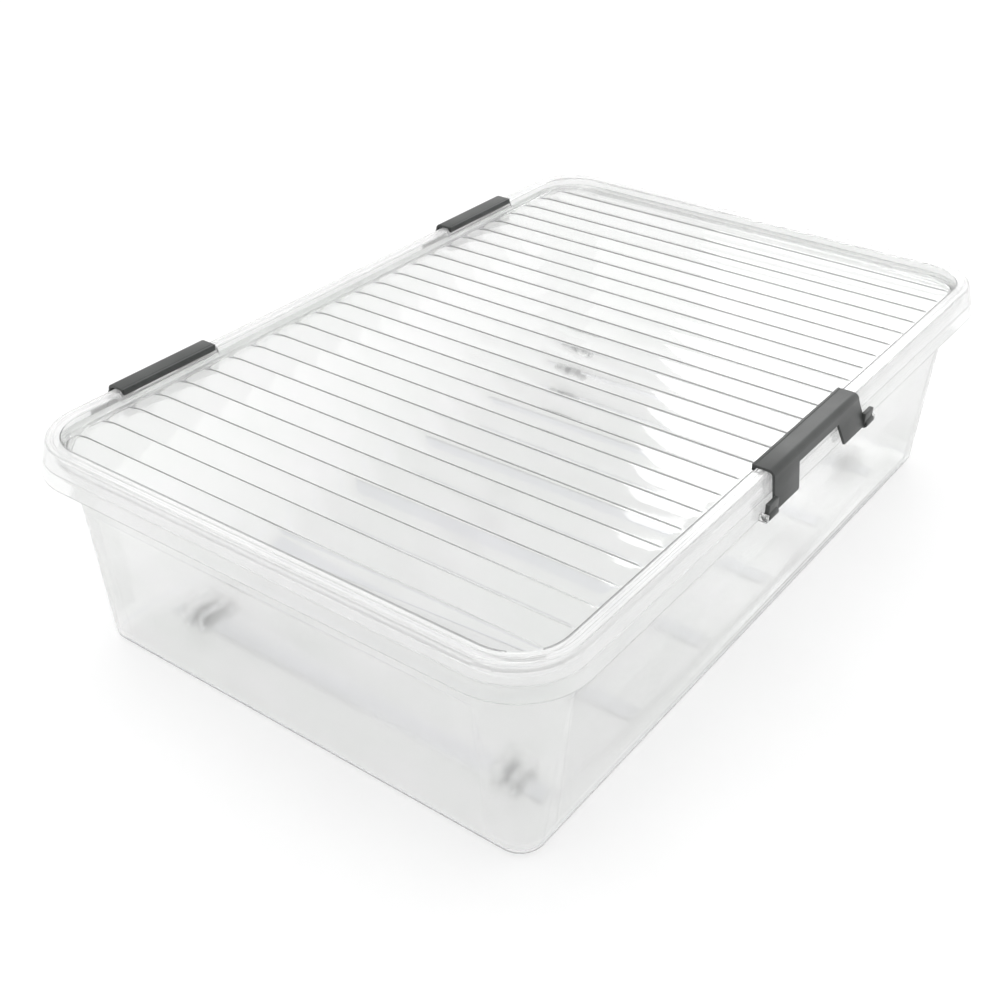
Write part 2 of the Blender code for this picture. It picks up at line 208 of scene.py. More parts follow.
# The rim's outline at an inset: half length, half width, corner radius, height
def rimOutline(inset, height):
    return halfLength - inset, halfWidth - inset, rim["corner"] - inset, height


# The edges of an operator's result that lie wholly among some corners
def edgesAmong(made, corners):
    return [item for item in made if isinstance(item, bmesh.types.BMEdge)
            and all(vert in corners for vert in item.verts)]


# A loop of edges extruded once, from one rounded rectangle to the next
def growOutline(bm, edges, old, new):
    made = bmesh.ops.extrude_edge_only(bm, edges=edges)["geom"]
    fresh = {item for item in made if isinstance(item, bmesh.types.BMVert)}
    for vert in fresh:
        core = Vector([clamp(number, half - old[2]) for number, half in zip(vert.co.xy, old)])
        out = (vert.co.xy - core).normalized()
        for axis in (0, 1):
            if abs(core[axis]) > old[axis] - old[2] - 1e-6:
                core[axis] = math.copysign(new[axis] - new[2], core[axis])
        vert.co = (*(core + out * new[2]), new[3])
    return edgesAmong(made, fresh)


# Clear polypropylene: natural random copolymer, injection moulded in a polished tool. It passes
# light with a faint milky haze, so things behind it are soft. Its surface also has a painted glow,
# a white emission that stands in for light scattered out of the sheet, stronger on folds and edges.
# Haze is its roughness, milk the share that doesn't pass, the painted glow its emission and sway its
# ripple.
def clearPolypropylene(name, tint, deepTint, haze, milk, paintedGlow, sway):
    material, tree, output, place = newMaterial(name)
    flow = noiseOf(tree, place, 90, 3, (1, 1, 2))           # slow cloudiness from the melt's flow
    skin = noiseOf(tree, place, 2.5, 2)                       # patchy gloss of the moulded skin
    wave = noiseOf(tree, place, 60, 1)                        # sink and ripple of a thin wall
    ripple = addNode(tree, "ShaderNodeBump", values={"Strength": sway, "Distance": 0.001},
                     links={"Height": wave})
    # painted glow: the white emission below makes the plastic shine as if it were a lamp
    shader = addNode(tree, "ShaderNodeBsdfPrincipled",
                     values={"IOR": 1.49, "Transmission Weight": 1 - milk, "Metallic": 0.0,
                             "Emission Color": linear("ffffff"), "Emission Strength": paintedGlow},
                     links={"Base Color": blendColours(tree, flow, deepTint, tint),
                            "Roughness": spread(tree, skin, haze * 0.9, haze * 1.1),
                            "Normal": ripple.outputs["Normal"]})
    tree.links.new(shader.outputs["BSDF"], output.inputs["Surface"])
    return material


# Acetal: the clips' springy plastic, dark grey, with a fine spark-eroded grain that gives a satin
# sheen, broad soft reflections and no hard highlights
def sparkGrainAcetal():
    material, tree, output, place = newMaterial("spark_grain_acetal")
    grain = noiseOf(tree, place, 0.9, 3)                      # real grain is 0.1 mm, drawn coarser
    cloud = noiseOf(tree, place, 30, 2)
    relief = addNode(tree, "ShaderNodeBump", values={"Strength": 0.25, "Distance": 0.0001},
                     links={"Height": grain})
    shader = addNode(tree, "ShaderNodeBsdfPrincipled", values={"IOR": 1.48, "Metallic": 0.0},
                     links={"Base Color": blendColours(tree, cloud, "343635", "3e403f"),
                            "Roughness": spread(tree, grain, 0.30, 0.44),
                            "Normal": relief.outputs["Normal"]})
    tree.links.new(shader.outputs["BSDF"], output.inputs["Surface"])
    return material


# Nylon: the rollers, near black with a blue cast, turned smooth by the mould and a little waxy
def mouldedNylon():
    material, tree, output, place = newMaterial("moulded_nylon")
    scuff = noiseOf(tree, place, 1.5, 4, (1, 6, 1))           # scuffs run round the tread
    cloud = noiseOf(tree, place, 8, 2)
    relief = addNode(tree, "ShaderNodeBump", values={"Strength": 0.2, "Distance": 0.0001},
                     links={"Height": scuff})
    shader = addNode(tree, "ShaderNodeBsdfPrincipled", values={"IOR": 1.53, "Metallic": 0.0},
                     links={"Base Color": blendColours(tree, cloud, "1b1d24", "2a2c33"),
                            "Roughness": spread(tree, scuff, 0.32, 0.55),
                            "Normal": relief.outputs["Normal"]})
    tree.links.new(shader.outputs["BSDF"], output.inputs["Surface"])
    return material


# Drawn steel wire: the axles, bright, with fine lines along the wire from the die
def drawnSteel():
    material, tree, output, place = newMaterial("drawn_steel")
    lines = noiseOf(tree, place, 0.4, 2, (1, 0.02, 1))
    shader = addNode(tree, "ShaderNodeBsdfPrincipled", values={"Metallic": 1.0},
                     links={"Base Color": blendColours(tree, lines, "a9a9a6", "c9c9c6"),
                            "Roughness": spread(tree, lines, 0.22, 0.36)})
    tree.links.new(shader.outputs["BSDF"], output.inputs["Surface"])
    return material


# Pale studio floor: it glows as brightly as it reflects, so only the ground under the box is grey
def paleFloor():
    material, tree, output, place = newMaterial("pale_floor")
    mottle = noiseOf(tree, place, 400, 2)
    shader = addNode(tree, "ShaderNodeBsdfPrincipled",
                     values={"Roughness": 0.9, "Specular IOR Level": 0.1, "Emission Strength": 0.60},
                     links={"Base Color": blendColours(tree, mottle, "a9a9a9", "adadad"),
                            "Emission Color": blendColours(tree, mottle, "fdfdfd", "ffffff")})
    tree.links.new(shader.outputs["BSDF"], output.inputs["Surface"])
    return material


# The clear walls' looks: tint and deeper tint, haze, milk, painted glow and sway
clearLooks = {
    "lid": ("fafafa", "f8f9f8", 0.05, 0.04, 0.02, 0.02),
    # the rim scatters more (milk) and has a stronger painted glow that makes it look lit
    "rim": ("fafafa", "f8f8f8", 0.12, 0.20, 0.05, 0.01),
    "tub": ("f8f8f8", "f5f6f5", 0.09, 0.05, 0.02, 0.04),
    "frame": ("f3f3f3", "f0f1f0", 0.14, 0.12, 0.04, 0.02),
    "wall": ("f8f8f8", "f5f6f5", 0.11, 0.06, 0.02, 0.04),
    # painted shade: the floor ribs' greyer, bluer tint stands in for the shadow stripes on the tub's floor
    "shaded_floor_ribs": ("e3e4ea", "dddfe5", 0.10, 0.05, 0.02, 0.02),
}
clearPlastics = {}
for lookName, look in clearLooks.items():
    clearPlastics[lookName] = clearPolypropylene("clear_polypropylene_" + lookName, *look)
clipPlastic = sparkGrainAcetal()
rollerPlastic = mouldedNylon()
axleSteel = drawnSteel()
print("materials made")


# The lid. Insets run inwards from the rim's outline, and depths down from the lid's top.
lid = {
    "skin": 0.002,
    "band": 0.012,            # flat top of the rim
    "beadInset": 0.0056,      # fine sunk line along the band
    "beadHalf": 0.0008,
    "beadDepth": 0.00025,
    "outerRound": 0.002,
    "innerRound": 0.0014,
    "recessInset": 0.017,     # foot of the sloping recess wall
    "recessDepth": 0.010,
    "footRound": 0.0028,
    "ribCount": 25,
    "ribPitch": 0.0289,
    "ribDepth": 0.00035,
    "ribHalf": 0.0010,
    "ribCuts": (0.0, 0.0003, 0.0006, 0.0009, 0.0013, 0.0036, 0.0075),         # beside a rib's middle
    "ribEnds": (0.001, 0.0025, 0.0045, 0.007, 0.010, 0.013, 0.016),           # in from a rib's end
    "crown": 0.0005,          # each band between two ribs stands up this much
    "hook": 0.006,            # ribs bend towards -X at the rear by this much
    "hookLength": 0.016,
    "ribFade": 0.004,         # ribs, crowns and hooks fade out this near the panel's edge
    "crownFade": 0.006,
    "hookFade": 0.003,
}
panelInset = lid["recessInset"] + lid["footRound"] * 0.6
# The pockets for the clips' lips, and how far round them the lid is cut
catch = {
    "reach": 0.0055,
    "depth": 0.0045,
    "slack": 0.002,
    "draft": 0.0005,
    "cutInwards": 0.001,
    "cutBelow": 0.003,
}


# Where the panel is cut along its width: closely at the rear, where the ribs hook
def panelRows():
    reach = halfWidth - panelInset
    ends = lid["ribEnds"]
    rows = [-reach + end for end in ends[:4]] + [reach - end for end in ends]
    return sorted(rows + [0.0])


# The flat panel cut into strips, with a groove at each rib and a crown between two ribs
def ribShape(bm):
    top = lidHigh.z - lid["recessDepth"]
    middle = (lid["ribCount"] - 1) / 2
    centres = [(index - middle) * lid["ribPitch"] for index in range(lid["ribCount"])]
    for y in panelRows():
        cutAll(bm, (0, y, 0), (0, 1, 0))
    for centre in centres:
        for x in {centre + sign * offset for offset in lid["ribCuts"] for sign in (-1, 1)}:
            cutAll(bm, (x, 0, 0), (1, 0, 0))
        cutAll(bm, (centre + lid["ribPitch"] / 2, 0, 0), (1, 0, 0))
    border = {vert for edge in bm.edges if edge.is_boundary for vert in edge.verts}
    halfX, halfY, radius, _ = rimOutline(panelInset, top)
    for vert in bm.verts:
        vert.co.z = top
        if vert in border:
            continue
        x, y = vert.co.xy
        core = Vector((clamp(x, halfX - radius), clamp(y, halfY - radius)))
        inside = radius - (vert.co.xy - core).length          # how far inside the panel's outline
        nearest = min(centres, key=lambda centre: abs(centre - x))
        away = abs(x - nearest)
        share = min(1.0, away / (lid["ribPitch"] / 2))
        groove = lid["ribDepth"] * max(0.0, 1 - away / lid["ribHalf"])
        groove *= min(1.0, inside / lid["ribFade"])
        swell = lid["crown"] * (1 - (1 - share) ** 2) * min(1.0, inside / lid["crownFade"])
        vert.co.z = top - groove + swell
        bend = max(0.0, 1 - (halfY - y) / lid["hookLength"]) ** 2
        bend *= min(1.0, inside / lid["hookFade"])
        vert.co.x -= lid["hook"] * bend * (1 - share)


# Points (inset, height) of a quarter round from a start to an end, which sets off level or upright
def quarter(insetStart, zStart, insetEnd, zEnd, levelFirst, steps=4):
    points = []
    for step in range(1, steps + 1):
        turn = math.pi / 2 * step / steps
        across, along = math.sin(turn), 1 - math.cos(turn)
        if not levelFirst:
            across, along = 1 - math.cos(turn), math.sin(turn)
        points.append((insetStart + (insetEnd - insetStart) * across,
                       zStart + (zEnd - zStart) * along))
    return points


# The lid's outer section as (inset, height), from the panel's edge over the rim to the skirt's foot
def lidSection():
    top = lidHigh.z
    panel = top - lid["recessDepth"]
    foot = lid["footRound"]
    outer = lid["outerRound"]
    inner = lid["innerRound"]
    lean = (lid["recessInset"] - lid["band"]) / lid["recessDepth"]
    section = quarter(panelInset, panel, lid["recessInset"] - foot * lean, panel + foot, True)
    brow = lid["band"] + inner * lean + inner * 0.3
    section.append((brow, top - inner))
    section += quarter(brow, top - inner, lid["band"] - inner, top, False, 3)
    bead, beadHalf, beadFloor = lid["beadInset"], lid["beadHalf"], top - lid["beadDepth"]
    section += [(bead + beadHalf, top), (bead + beadHalf / 2, beadFloor),
                (bead - beadHalf / 2, beadFloor), (bead - beadHalf, top)]
    section.append((outer, top))
    section += quarter(outer, top, 0.0, top - outer, True, 5)
    for share, rise in ((0.86, 0.0016), (0.97, 0.0004), (1.0, 0.0)):          # the skirt's foot
        section.append((-rim["flare"] * share, lidLow.z + rise))
    return section


# Pockets in the rim for the clips' lips, pushed down into the sheet
def pressCatch(bm, name):
    low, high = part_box(name)
    side = -1 if high.y < 0 else 1
    middle = (low.x + high.x) / 2
    half = clipSizes[name][0] / 2 + catch["slack"]
    inner = side * (halfWidth - lid["band"] + catch["reach"])
    floor = lidHigh.z - catch["depth"]

    def nearby(centre):
        inner = halfWidth - lid["recessInset"] - catch["cutInwards"]
        return side * centre.y > inner and centre.z > floor - catch["cutBelow"]

    for x in (middle - half - catch["draft"], middle - half, middle + half, middle + half + catch["draft"]):
        cutAcross(bm, geometryOf(bm, nearby), (x, 0, 0), (1, 0, 0))
    for y in (inner, inner + side * catch["draft"]):
        cutAcross(bm, geometryOf(bm, nearby), (0, y, 0), (0, 1, 0))
    reach = half + 1e-5
    for vert in bm.verts:
        if abs(vert.co.x - middle) < reach and 0 < side * vert.co.y < side * inner + 1e-5:
            if vert.co.z > floor:
                vert.co.z = floor


# True beyond the band's inner edge where the outline turns a corner
def bandCorner(centre):
    out = Vector((max(0.0, abs(centre.x) - coreX), max(0.0, abs(centre.y) - coreY)))
    return out.length > rim["corner"] - lid["band"]


def makeLid():
    bm = bmesh.new()
    top = lidHigh.z
    ring = addRing(bm, *rimOutline(panelInset, 0.0))
    bmesh.ops.contextual_create(bm, geom=ring)
    ribShape(bm)
    edges = [edge for edge in bm.edges if edge.is_boundary]
    outlines = [rimOutline(panelInset, top)] + [rimOutline(*point) for point in lidSection()]
    for old, new in zip(outlines, outlines[1:]):
        edges = growOutline(bm, edges, old, new)
    for name in clipSizes:
        pressCatch(bm, name)
    bmesh.ops.remove_doubles(bm, verts=bm.verts, dist=1e-6)
    bmesh.ops.recalc_face_normals(bm, faces=bm.faces)
    if max(bm.faces, key=lambda face: face.calc_area()).normal.z < 0:
        bmesh.ops.reverse_faces(bm, faces=bm.faces)
    outer = set(bm.verts)
    bmesh.ops.solidify(bm, geom=bm.faces[:], thickness=lid["skin"])
    under = top - lid["recessDepth"] - lid["skin"]
    nearUnder, insidePanel = 0.0015, -lid["recessInset"] - 0.002
    for vert in bm.verts:                                     # the panel's underside is plain
        if vert not in outer and abs(vert.co.z - under) < nearUnder and pastRim(vert.co) < insidePanel:
            vert.co.z = under
    bmesh.ops.recalc_face_normals(bm, faces=bm.faces)
    for face in bm.faces:                                     # the folded rim gets the milkier material, with a stronger painted glow that brightens it
        centre = face.calc_center_median()
        if pastRim(centre) > -lid["band"] or bandCorner(centre):
            face.material_index = 1
    piece = meshFrom(bm, "lid_shell", clearPlastics["lid"], "lid", ["lid"], 28)
    piece.data.materials.append(clearPlastics["rim"])
    return piece


lidShell = makeLid()
print("lid made:", len(lidShell.data.polygons), "faces")


# The tub. Insets run inwards from the rim's outline, and heights up from the ground.
tub = {
    "skin": 0.002,
    "floorSkin": 0.0025,
    "flare": 0.007,           # the tub's skirt leans out further than the lid's
    "skirtFoot": 0.182,
    "upstandInset": 0.006,
    "flangeUnder": 0.1925,
    "wallInset": 0.0125,
    "wallCorner": 0.0525,
    "footInset": (0.0315, 0.027),
    "footCorner": 0.021,
    "footRound": 0.008,
    "panelDepth": 0.0009,
    "panelStart": (0.322, 0.192),   # where the flat wall panels end, along X and Y
    "panelHeights": (0.018, 0.149),
    "panelEdge": 0.003,
    "panelMargins": (0.012, 0.03),  # the walls are cut this far below and above the panels
    "wallsBeyond": (0.34, 0.21),    # every wall lies further out than this, along X and Y
    "seamGap": 0.0003,
    "ribs": 6,                # low wide ribs across the floor
    "ribPitch": 0.117,
    "ribHalf": 0.010,
    "ribHeight": 0.0012,
    "ribReach": 0.204,
    "ribSlope": 0.0012,
}
housing = {
    "pocket": (0.0125, 0.006),
    "roof": 0.022,
    "skin": 0.0022,
    "halfY": 0.014,
    "slotHalf": 0.0023,
    "slotReach": 0.0113,
    "round": 0.0016,
}


# The drafted wall's outline at a height, moved in by so much
def wallOutline(height, inward, lift=0.0):
    drop = (tub["skirtFoot"] - height) / (tub["skirtFoot"] - tubLow.z)
    inset = [tub["wallInset"] + (foot - tub["wallInset"]) * drop + inward for foot in tub["footInset"]]
    corner = tub["wallCorner"] + (tub["footCorner"] - tub["wallCorner"]) * drop - inward
    return halfLength - inset[0], halfWidth - inset[1], corner, height + lift


# The rounded foot of the wall, from the floor up
def footOutlines(floor, roundBy, skin):
    outlines = []
    steps = 6
    for step in range(steps + 1):
        turn = math.pi / 2 * (1 - step / steps)
        outlines.append(wallOutline(floor + roundBy, skin + roundBy * (1 - math.cos(turn)),
                                    -roundBy * math.sin(turn)))
    return outlines


# The tub's outlines from its foot up the outside, over the rim and down the inside to the floor
def tubSection():
    seam = lidLow.z - tub["seamGap"]
    flare = tub["flare"]
    skin = tub["skin"]
    under = tub["flangeUnder"]
    throat = wallOutline(under, 0.0)
    heights = (0.05, 0.10, 0.15, tub["skirtFoot"])
    outside = footOutlines(tubLow.z, tub["footRound"], 0.0) + [wallOutline(z, 0.0) for z in heights]
    edge = [throat, rimOutline(skin - rim["flare"], under), rimOutline(skin - flare, tub["skirtFoot"]),
            rimOutline(-flare, tub["skirtFoot"]), rimOutline(-rim["flare"], seam),
            rimOutline(tub["upstandInset"], seam), rimOutline(tub["upstandInset"], tubHigh.z),
            rimOutline(tub["upstandInset"] + skin, tubHigh.z), wallOutline(under, skin)]
    inside = footOutlines(tubLow.z + tub["floorSkin"], tub["footRound"] - skin, skin)
    inside += [wallOutline(z, skin) for z in heights]
    return outside + edge + inside[::-1]


def rollerCentres():
    for name in rollerPlaces:
        low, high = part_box("roller_" + name)
        yield name, (low + high) / 2


# Cuts flat faces at a level round some rectangles and lifts what is inside them
def liftRectangles(bm, level, rectangles, height):
    def atLevel(centre):
        return abs(centre.z - level) < 1e-5

    def inRectangle(centre):
        return any(x0 < centre.x < x1 and y0 < centre.y < y1 for x0, x1, y0, y1 in rectangles)

    for x0, x1, y0, y1 in rectangles:
        for x in (x0, x1):
            cutAcross(bm, geometryOf(bm, atLevel), (x, 0, 0), (1, 0, 0))
        for y in (y0, y1):
            cutAcross(bm, geometryOf(bm, atLevel), (0, y, 0), (0, 1, 0))
    inside = []
    for face in bm.faces:
        centre = face.calc_center_median()
        if atLevel(centre) and inRectangle(centre):
            inside.append(face)
    made = bmesh.ops.extrude_face_region(bm, geom=inside)["geom"]
    bmesh.ops.delete(bm, geom=[face for face in inside if face.is_valid], context="FACES")
    for vert in (item for item in made if isinstance(item, bmesh.types.BMVert)):
        vert.co.z = height


# Low ribs across the inside of the floor, with sloping sides
def pressRibs(bm):
    half, reach, slope = tub["ribHalf"], tub["ribReach"], tub["ribSlope"]
    floor = tubLow.z + tub["floorSkin"]
    middle = (tub["ribs"] - 1) / 2
    rises = [(index - middle) * tub["ribPitch"] for index in range(tub["ribs"])]

    def onFloor(centre):
        return abs(centre.z - floor) < 1e-5

    for rise in rises:
        for x in (rise - half, rise - half + slope, rise + half - slope, rise + half):
            cutAcross(bm, geometryOf(bm, onFloor), (x, 0, 0), (1, 0, 0))
    for y in (-reach, slope - reach, reach - slope, reach):
        cutAcross(bm, geometryOf(bm, onFloor), (0, y, 0), (0, 1, 0))
    for vert in bm.verts:
        if abs(vert.co.z - floor) < 1e-5 and abs(vert.co.y) < reach - slope + 1e-5:
            if any(abs(vert.co.x - rise) < half - slope + 1e-5 for rise in rises):
                vert.co.z = floor + tub["ribHeight"]
    for face in bm.faces:                                     # painted shade: a greyer, bluer tint standing in for shadow stripes cast through the lid
        if abs(face.calc_center_median().z - floor - tub["ribHeight"]) < 1e-4:
            face.material_index = 2


def rectanglesRound(centres, halfX, halfY):
    return [(at.x - halfX, at.x + halfX, at.y - halfY, at.y + halfY) for at in centres]


# The roller housings: pockets and axle slots from below, and raised blocks on the floor
def makeHousings(bm):
    centres = [centre for _, centre in rollerCentres()]
    axleZ = centres[0].z
    halfX, halfY = housing["pocket"]
    slotX, slotY = housing["slotHalf"], housing["slotReach"]
    outerX, outerY = halfX + housing["skin"], housing["halfY"]
    pockets = rectanglesRound(centres, halfX, halfY)
    slots = rectanglesRound(centres, slotX, slotY)
    raised = rectanglesRound(centres, outerX, outerY)
    liftRectangles(bm, tubLow.z, pockets + slots, axleZ + slotX)
    liftRectangles(bm, axleZ + slotX, pockets, housing["roof"])
    liftRectangles(bm, tubLow.z + tub["floorSkin"], raised, housing["roof"] + housing["skin"])


# Shallow panels in the four walls, pressed in through both faces of the wall
def pressPanels(bm):
    low, high = tub["panelHeights"]
    edge = tub["panelEdge"]
    startX, startY = tub["panelStart"]
    beyondX, beyondY = tub["wallsBeyond"]
    below, above = tub["panelMargins"]

    def onWall(centre):
        outside = abs(centre.x) > beyondX or abs(centre.y) > beyondY
        return low - below < centre.z < high + above and outside

    for z in (low, low + edge, high - edge, high):
        cutAcross(bm, geometryOf(bm, onWall), (0, 0, z), (0, 0, 1))
    for start, normal, axis in ((startX, (1, 0, 0), 0), (startY, (0, 1, 0), 1)):
        for sign in (-1, 1):
            for at in (start, start - edge):
                point = [0, 0, 0]
                point[axis] = sign * at
                cutAcross(bm, geometryOf(bm, onWall), point, normal)
    slack = 1e-5
    for vert in bm.verts:
        x, y, z = vert.co
        if not low + edge - slack < z < high - edge + slack:
            continue
        if abs(x) < startX - edge + slack and abs(y) > beyondY:
            vert.co.y -= math.copysign(tub["panelDepth"], y)
        elif abs(y) < startY - edge + slack and abs(x) > beyondX:
            vert.co.x -= math.copysign(tub["panelDepth"], x)


# The frame round the pressed panels gets the greyer and milkier second material, and the panels,
# with a duller moulded skin than the floor, get the fourth
def frostFrame(bm):
    low, high = tub["panelHeights"]
    startX, startY = tub["panelStart"]
    beyondX, beyondY = tub["wallsBeyond"]
    for face in bm.faces:
        x, y, z = face.calc_center_median()
        inPanel = abs(x) < startX and abs(y) > beyondY or abs(y) < startY and abs(x) > beyondX
        if z > high or (z > low and not inPanel):
            face.material_index = 1
        elif z > low:
            face.material_index = 3


hinge = {
    "pinRadius": 0.0016,
    "pinLength": 0.010,
    "lugGap": 0.0005,
    "lug": 0.004,
    "lugHalf": 0.003,
    "lugReach": 0.0027,
}


def clipHinge(name):
    joint = next(joint for joint in frame["joints"] if joint["name"] == name + "_hinge")
    return Vector(joint["pos_m"])


# Lugs on the skirt with the pins that carry the clips
def addLugs(bm):
    skirtY = halfWidth + tub["flare"] - tub["skin"] / 2
    for name in clipSizes:
        low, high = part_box(name)
        pin = clipHinge(name)
        side = math.copysign(1, pin.y)
        for end, reach in ((-1, low.x), (1, high.x)):
            near = reach + end * hinge["lugGap"]
            far = near + end * hinge["lug"]
            ys = sorted((side * skirtY, pin.y + side * hinge["lugReach"]))
            addBlock(bm, (min(near, far), ys[0], pin.z - hinge["lugHalf"]),
                     (max(near, far), ys[1], pin.z + hinge["lugHalf"]), 0.0007, 3)
            tip = near - end * hinge["pinLength"]
            root = near + end * hinge["lug"] / 2
            addRod(bm, hinge["pinRadius"], (tip, pin.y, pin.z), (root, pin.y, pin.z), "X", 24, 0.0003)


# Sharp edges whose lower or upper end, by min or max, lies between two heights
def edgesBetween(bm, degrees, low, high, end):
    return [edge for edge in sharpEdges(bm.edges, degrees)
            if low < end(vert.co.z for vert in edge.verts) < high]


def makeTub():
    bm = bmesh.new()
    outlines = tubSection()
    edges = addRing(bm, *outlines[0])
    bmesh.ops.contextual_create(bm, geom=edges)
    for old, new in zip(outlines, outlines[1:]):
        edges = growOutline(bm, edges, old, new)
    bmesh.ops.contextual_create(bm, geom=edges)
    pressPanels(bm)
    frostFrame(bm)
    makeHousings(bm)
    pressRibs(bm)
    bmesh.ops.remove_doubles(bm, verts=bm.verts, dist=1e-6)
    bmesh.ops.recalc_face_normals(bm, faces=bm.faces)
    roundEdges(bm, edgesBetween(bm, 40, 0.17, 1.0, min), 0.0007, 3)                     # the rim
    roundEdges(bm, edgesBetween(bm, 60, tubLow.z + 0.0021, 0.04, max), 0.0006, 2)      # the housings
    addLugs(bm)
    piece = meshFrom(bm, "tub_shell", clearPlastics["tub"], "tub", ["tub"], 28)
    for look in ("frame", "shaded_floor_ribs", "wall"):              # material indices 1, 2 and 3
        piece.data.materials.append(clearPlastics[look])
    return piece


tubShell = makeTub()
print("tub made:", len(tubShell.data.polygons), "faces")


# The clips. Outer sizes run outwards from the rim's outline, and heights up from the ground.
clip = {
    "skin": 0.0025,
    "bend": 0.006,
    "outerTop": 0.006,        # outer face at the top, out from the rim's outline
    "outerFoot": 0.0125,
    "lipInset": 0.0145,
    "lipDrop": 0.0056,
    "foot": 0.184,
    "spread": 0.0065,         # the legs are longer at the foot by this, each end
    "legHeights": (0.197, 0.1905),
    "windowTop": 0.204,
    "windowSpread": 0.0065,
    "lineInset": 0.0026,      # fine line along the top, in from the lip
    "lineHalf": 0.0004,
    "lineDepth": 0.0006,
    "edgeRound": 0.00045,
    "tabTop": 0.1959,
    "tabLength": 0.0118,
    "tabRoot": 0.004,
    "sleeveRoot": 0.002,
    "tabFaces": (-0.0018, 0.0022),
    "barrel": 0.0037,
    "bore": 0.0020,
}


# Points (outward from the rim's outline, height) across the clip's outer face, lip first
def clipLine(top):
    inner = -clip["lipInset"]
    lineAt = inner + clip["lineInset"]
    half = clip["lineHalf"]
    points = [(inner, top - clip["lipDrop"]), (inner, top), (lineAt - half, top),
              (lineAt, top - clip["lineDepth"]), (lineAt + half, top)]
    steps = 9
    start = clip["outerTop"] - clip["bend"]
    for step in range(steps + 1):
        turn = math.pi / 2 * step / steps
        points.append((start + clip["bend"] * math.sin(turn), top - clip["bend"] * (1 - math.cos(turn))))
    bendEnd = points[-1]
    for height in (clip["windowTop"], *clip["legHeights"], clip["foot"]):
        share = (bendEnd[1] - height) / (bendEnd[1] - clip["foot"])
        points.append((bendEnd[0] + (clip["outerFoot"] - clip["outerTop"]) * share, height))
    return points


# How far along X from the clip's middle one of its four upright edges stands at a height
def columnOf(name, height, bendEnd, index):
    length, window = clipSizes[name]
    fall = max(0.0, (bendEnd - height) / (bendEnd - clip["foot"]))
    opening = max(0.0, (clip["windowTop"] - height) / (clip["windowTop"] - clip["foot"]))
    edge = length / 2 + clip["spread"] * fall
    gap = window + clip["windowSpread"] * opening
    return (-edge, -gap, gap, edge)[index]


# A sheet of three columns between four edges, without the middle one's foot, made thick
def makeClip(name):
    low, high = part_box(name)
    side = -1 if high.y < 0 else 1
    middle = (low.x + high.x) / 2
    top = high.z
    bendEnd = top - clip["bend"]
    line = clipLine(top)
    bm = bmesh.new()
    spine = [bm.verts.new((index, 0, 0)) for index in range(len(line))]
    edges = [bm.edges.new(pair) for pair in zip(spine, spine[1:])]
    columns = [spine]
    for _ in range(3):
        made = bmesh.ops.extrude_edge_only(bm, edges=edges)["geom"]
        verts = [item for item in made if isinstance(item, bmesh.types.BMVert)]
        fresh = set(verts)
        edges = edgesAmong(made, fresh)
        columns.append(sorted(verts, key=lambda vert: vert.co.x))
    for index, column in enumerate(columns):
        for vert, (out, height) in zip(column, line):
            vert.co = (middle + columnOf(name, height, bendEnd, index), side * (halfWidth + out), height)
    hole = [face for face in bm.faces if abs(face.calc_center_median().x - middle) < 0.01
            and face.calc_center_median().z < clip["windowTop"] - 1e-5]
    bmesh.ops.delete(bm, geom=hole, context="FACES")
    bmesh.ops.recalc_face_normals(bm, faces=bm.faces)
    crest = max(bm.faces, key=lambda face: face.calc_center_median().z)
    if crest.normal.z < 0:
        bmesh.ops.reverse_faces(bm, faces=bm.faces)
    bmesh.ops.solidify(bm, geom=bm.faces[:], thickness=clip["skin"])
    bmesh.ops.recalc_face_normals(bm, faces=bm.faces)
    roundEdges(bm, sharpEdges(bm.edges, 48), clip["edgeRound"], 3)
    addTabs(bm, name, middle, side)
    return meshFrom(bm, name + "_moulding", clipPlastic, name, [name], 34)


# The tabs at both ends of the legs, with the sleeves that turn on the pins
def addTabs(bm, name, middle, side):
    length = clipSizes[name][0]
    pin = clipHinge(name)
    edge = length / 2 + clip["spread"]
    for end in (-1, 1):
        finish = middle + end * (edge + clip["tabLength"])
        xs = sorted((middle + end * (edge - clip["tabRoot"]), finish))
        ys = sorted((pin.y - side * clip["tabFaces"][0], pin.y - side * clip["tabFaces"][1]))
        addBlock(bm, (xs[0], ys[0], pin.z), (xs[1], ys[1], clip["tabTop"]), 0.0005, 3)
        start = middle + end * (edge - clip["sleeveRoot"])
        addSleeve(bm, pin, min(start, finish), max(start, finish))


# A barrel with its bore, round an axis along X
def addSleeve(bm, pin, x0, x1):
    turn = Matrix.Translation((x0, pin.y, pin.z)) @ Matrix.Rotation(math.pi / 2, 4, "Y")
    loops = []
    for radius in (clip["barrel"], clip["bore"]):
        verts = bmesh.ops.create_circle(bm, segments=36, radius=radius, matrix=turn)["verts"]
        loops += list({edge for vert in verts for edge in vert.link_edges})
    end = bmesh.ops.bridge_loops(bm, edges=loops)["faces"]
    made = bmesh.ops.extrude_face_region(bm, geom=end, use_keep_orig=True)["geom"]
    fresh = [item for item in made if isinstance(item, bmesh.types.BMVert)]
    bmesh.ops.translate(bm, verts=fresh, vec=(x1 - x0, 0, 0))
    faces = set(end) | {face for vert in fresh for face in vert.link_faces}
    bmesh.ops.recalc_face_normals(bm, faces=list(faces))
    roundEdges(bm, sharpEdges({edge for face in faces for edge in face.edges}, 60), 0.0004, 2)


for name in clipSizes:
    makeClip(name)
print("clips made")


# The rollers: radii from the axle, and widths along it to either side of the middle.
roller = {
    "tread": 0.0100,
    "half": 0.005,
    "bore": 0.0024,
    "hub": 0.0045,
    "web": 0.0075,
    "webDepth": 0.0018,
    "groove": 0.0005,         # depth of the line round the middle of the tread
    "chamfer": 0.0009,
    "steps": 64,
    "ribs": 6,
}


